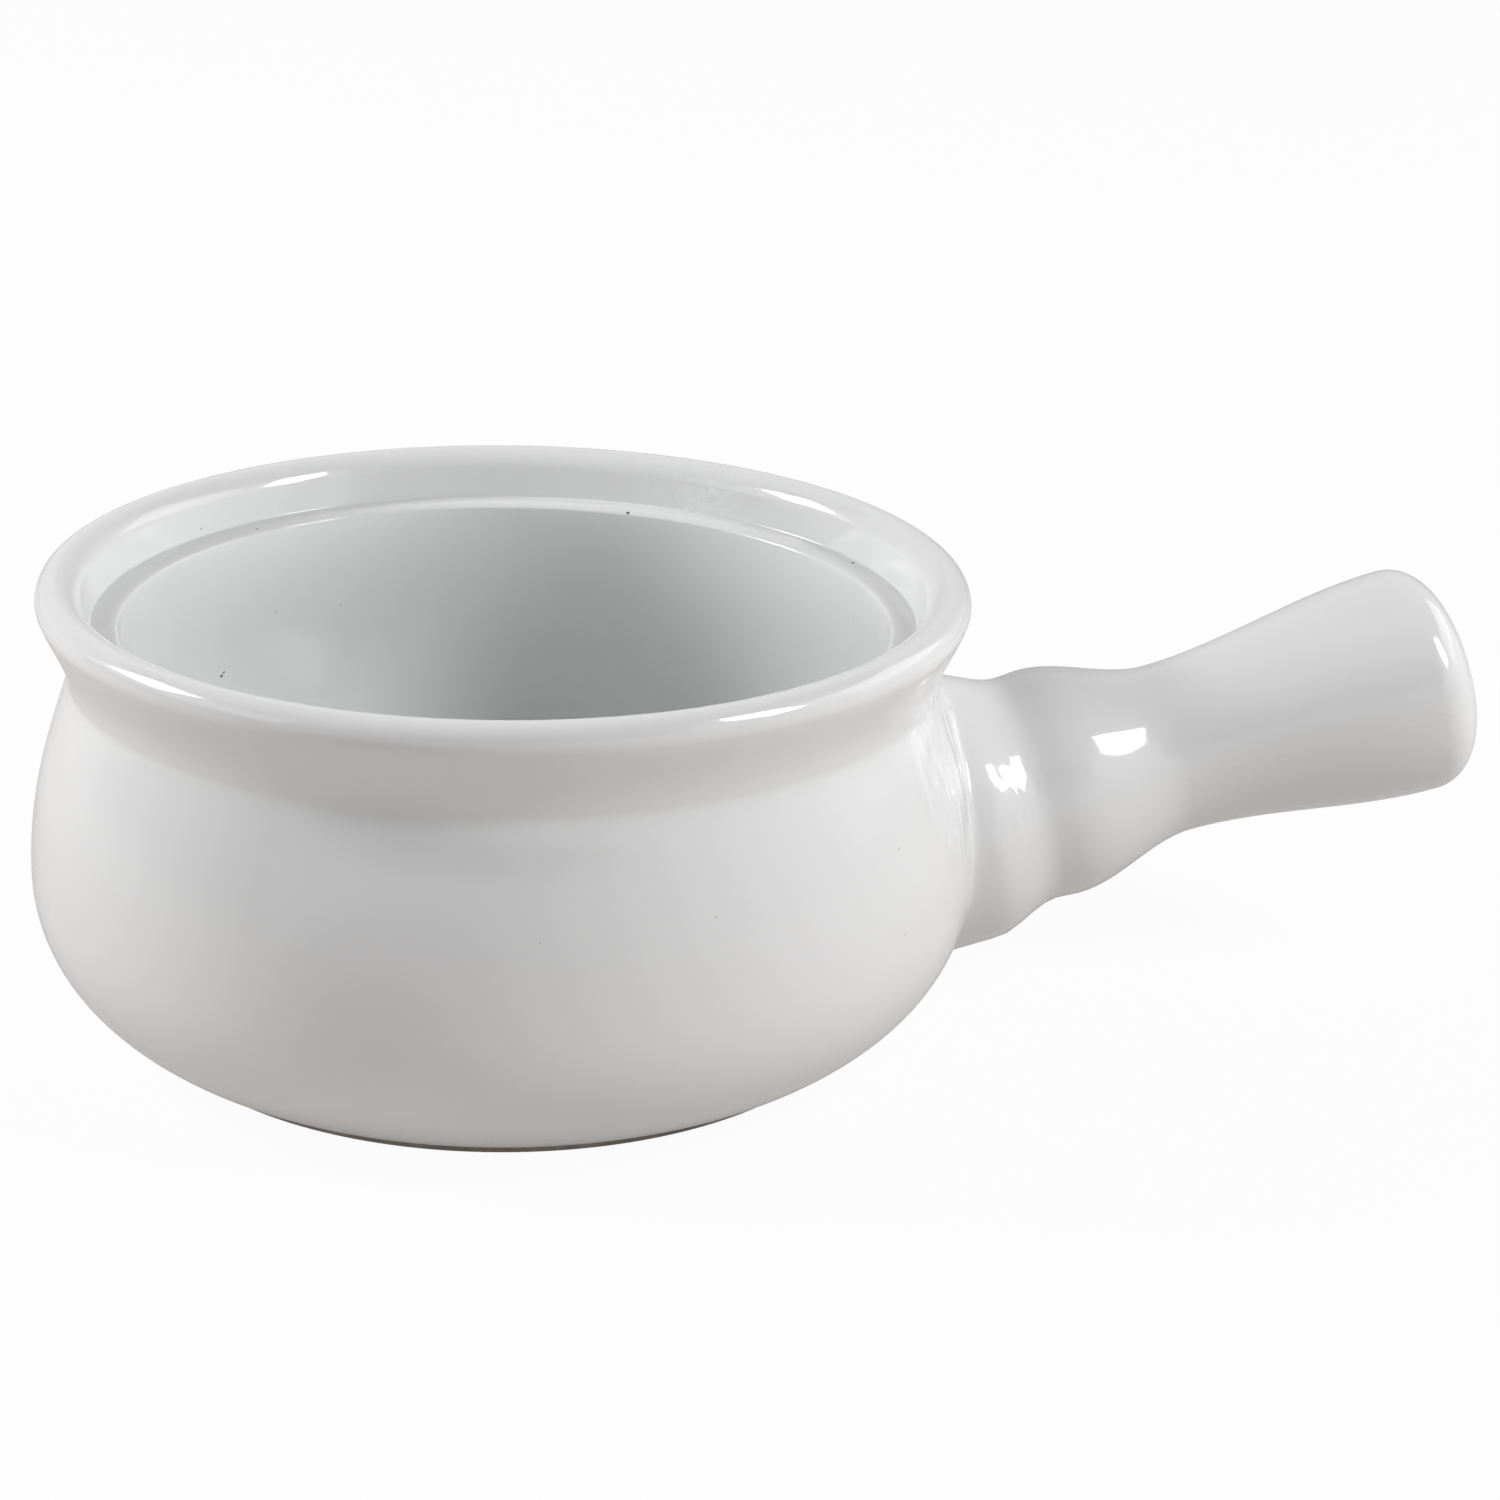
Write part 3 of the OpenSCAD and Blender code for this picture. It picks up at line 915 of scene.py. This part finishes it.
def buildFloor(s):
    # the camera sees the floor, and the crock is lit and mirrored by the table in its place
    shader = Shader(bpy.data.materials.new("paleFloor"), "ShaderNodeMixShader")
    cloth = shader.add("ShaderNodeBsdfDiffuse", {}, {"Color": s["floorColour"]})
    white = shader.add("ShaderNodeEmission", {}, {"Color": rgb(1, 1, 1), "Strength": 1.0})
    shader.feed(shader.surface.inputs[0], s["floorShown"])
    shader.feed(shader.surface.inputs[1], cloth)
    shader.feed(shader.surface.inputs[2], white)
    floor = plane("paleFloor", s["floorSize"], 0, shader.owner)
    floor.visible_diffuse = floor.visible_glossy = floor.visible_shadow = False

    shader = Shader(bpy.data.materials.new("table"), "ShaderNodeAddShader")
    x = shader.axes(shader.place())[0]
    sheet = x.math("GREATER_THAN", s["sheetLeft"]) * x.math("LESS_THAN", s["sheetRight"])
    glow = s["roundGlow"] + sheet * (s["sheetGlow"] - s["roundGlow"])
    shader.feed(shader.surface.inputs[0],
                shader.add("ShaderNodeBsdfDiffuse", {}, {"Color": s["sheetColour"]}))
    shader.feed(shader.surface.inputs[1],
                shader.add("ShaderNodeEmission", {}, {"Color": s["sheetTint"], "Strength": glow}))
    table = plane("table", s["floorSize"], -s["tableDrop"] * mm, shader.owner)
    table.visible_camera = False


def buildLamps(s):
    work = bmesh.new()
    bmesh.ops.create_circle(work, cap_ends=True, segments=s["lampCorners"],
                            radius=s["lampRadius"])
    place = hung(s["lampTurn"], s["lampRise"], s["lampFar"], s["aim"])
    place = place @ Matrix.Diagonal((s["lampNarrow"], 1, 1, 1))
    place = place @ Matrix.Rotation(math.radians(s["lampRoll"]), 4, "Z")
    bmesh.ops.transform(work, matrix=place, verts=work.verts)
    lamp = finished("rightLamp", work, glowing("rightLamp", rgb(1, 1, 1), s["lampGlow"]))
    lamp.visible_camera = False

    data = bpy.data.lights.new("leftBox", "AREA")
    data.shape, data.size, data.energy = "SQUARE", s["boxSize"], s["boxWatts"]
    lamp = bpy.data.objects.new("leftBox", data)
    lamp.matrix_world = hung(s["boxTurn"], s["boxRise"], s["boxFar"], s["aim"])
    lamp.visible_camera = False
    sceneRoot.objects.link(lamp)


def buildStudio(s):
    bpy.context.scene.view_settings.view_transform = "Standard"
    buildWorld(s)
    buildFloor(s)
    for name, (turns, rises, glow) in panels.items():
        softPanel(name, turns, rises, s["panelsFar"], s["panelColour"], glow)
    softPanel("frontCard", s["cardTurns"], s["cardRises"], s["cardFar"], s["panelColour"],
              s["cardGlow"])
    buildLamps(s)
    print("studio made")


addCamera(cameraSetup, rimRadius, bowlHeight)
clay = clayMaterial("bareClay", bareClay["fired"], bareClay["dark"], bareClay["clayFineness"])
slip = clayMaterial("castingSlip", bareClay["slip"], bareClay["fired"], bareClay["slipFineness"])
for nodeName, material in (("handle_body", clay), ("luting_slip", slip)):
    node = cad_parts[nodeName]
    node.data.materials.clear()
    node.data.materials.append(material)
print("clay and slip laid on the solids")
buildBowlClay(bowl, clay)
whiteGlaze = outsideGlaze()
outline = buildOutsideCoat(bowl, whiteGlaze)
buildInsideCoat(bowl, insideGlaze())
buildUndersideCoat(bowl, whiteGlaze)
buildHandleCoat(handle, outline, handleGlaze())
buildStudio(studio)
